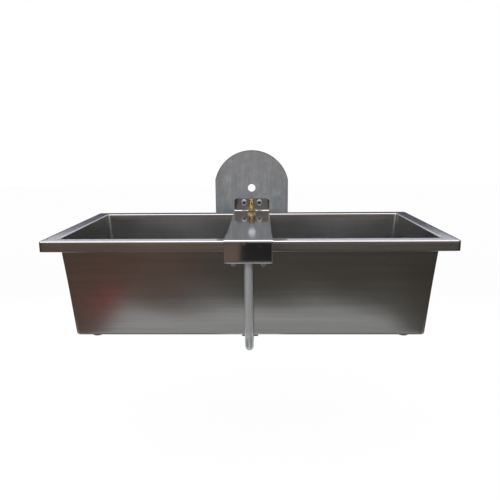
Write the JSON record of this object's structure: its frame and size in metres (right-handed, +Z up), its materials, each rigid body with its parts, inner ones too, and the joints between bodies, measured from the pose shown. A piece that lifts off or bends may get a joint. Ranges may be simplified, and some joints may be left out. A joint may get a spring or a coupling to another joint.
{
  "type": "livestock water trough",
  "caption": "Wall-hung sheet-steel trough with a bridge over a float valve, an arched wall plate, a brass inlet and a supply pipe that loops under the tub.",
  "frame": {"origin": "centre of the round hole in the wall plate, on the plate's rear face", "axes": "+X along the trough, +Y out of the plate's rear face to the wall, +Z up"},
  "size_m": [1, 0.5405, 0.4976],
  "materials": {
    "tub_steel": "rolled, satin",
    "bridge_steel": "polished",
    "plate_steel": "dull, mottled",
    "galvanised_steel": "hot-dip zinc",
    "bolt_steel": "zinc plated",
    "brass": "machined",
    "brass_rod": "drawn",
    "black_rubber": "moulded",
    "grey_rubber": "moulded",
    "red_fibre": "pressed fibre",
    "white_nylon": "machined",
    "float_plastic": "blow moulded"
  },
  "bodies": {
    "trough": {"tub": "tub_steel", "tub_feet": "black_rubber", "wall_plate": "plate_steel", "plate_studs": "bolt_steel", "stud_washers": "bolt_steel", "stud_nuts": "bolt_steel", "bridge": "bridge_steel", "supply_pipe": "galvanised_steel", "pipe_flange": "galvanised_steel", "flange_bolts": "bolt_steel", "flange_washers": "bolt_steel", "flange_nuts": "bolt_steel", "saddle_pads": "black_rubber", "clamp_spacers": "galvanised_steel", "pipe_clamps": "galvanised_steel", "clamp_bolts": "bolt_steel", "inlet_washer": "red_fibre", "inlet_adaptor": "brass", "valve_elbow": "brass", "outer_seal": "black_rubber", "inner_seal": "black_rubber", "valve_backnut": "brass", "valve_body": "brass", "valve_seat": "white_nylon", "valve_end_cap": "brass", "lever_pin": "bolt_steel", "pin_clip": "bolt_steel", "drain_collar": "plate_steel", "drain_seal": "black_rubber", "drain_backnut": "brass"},
    "float_lever": {"float_lever": "brass", "float_arm": "brass_rod", "float_locknut": "brass", "float_ball": "float_plastic"},
    "piston": {"valve_piston": "brass", "piston_washer": "black_rubber"},
    "bung": {"drain_bung": "grey_rubber"}
  },
  "joints": [
    {"name": "float_hinge", "type": "hinge", "parent": "trough", "child": "float_lever", "pos_m": [0, -0.44849, -0.124], "axis": [1, 0, 0], "range_deg": [0, 30]},
    {"name": "piston_slide", "type": "slide", "parent": "trough", "child": "piston", "axis": [0, -1, 0], "range_m": [0, 0.00986]},
    {"name": "bung_pull", "type": "slide", "parent": "trough", "child": "bung", "axis": [0, 0, 1], "range_m": [0, 0.08]}
  ],
  "couplings": [
    {"joint": "piston_slide", "follows": "float_hinge", "m_per_rad": 0.018784}
  ]
}
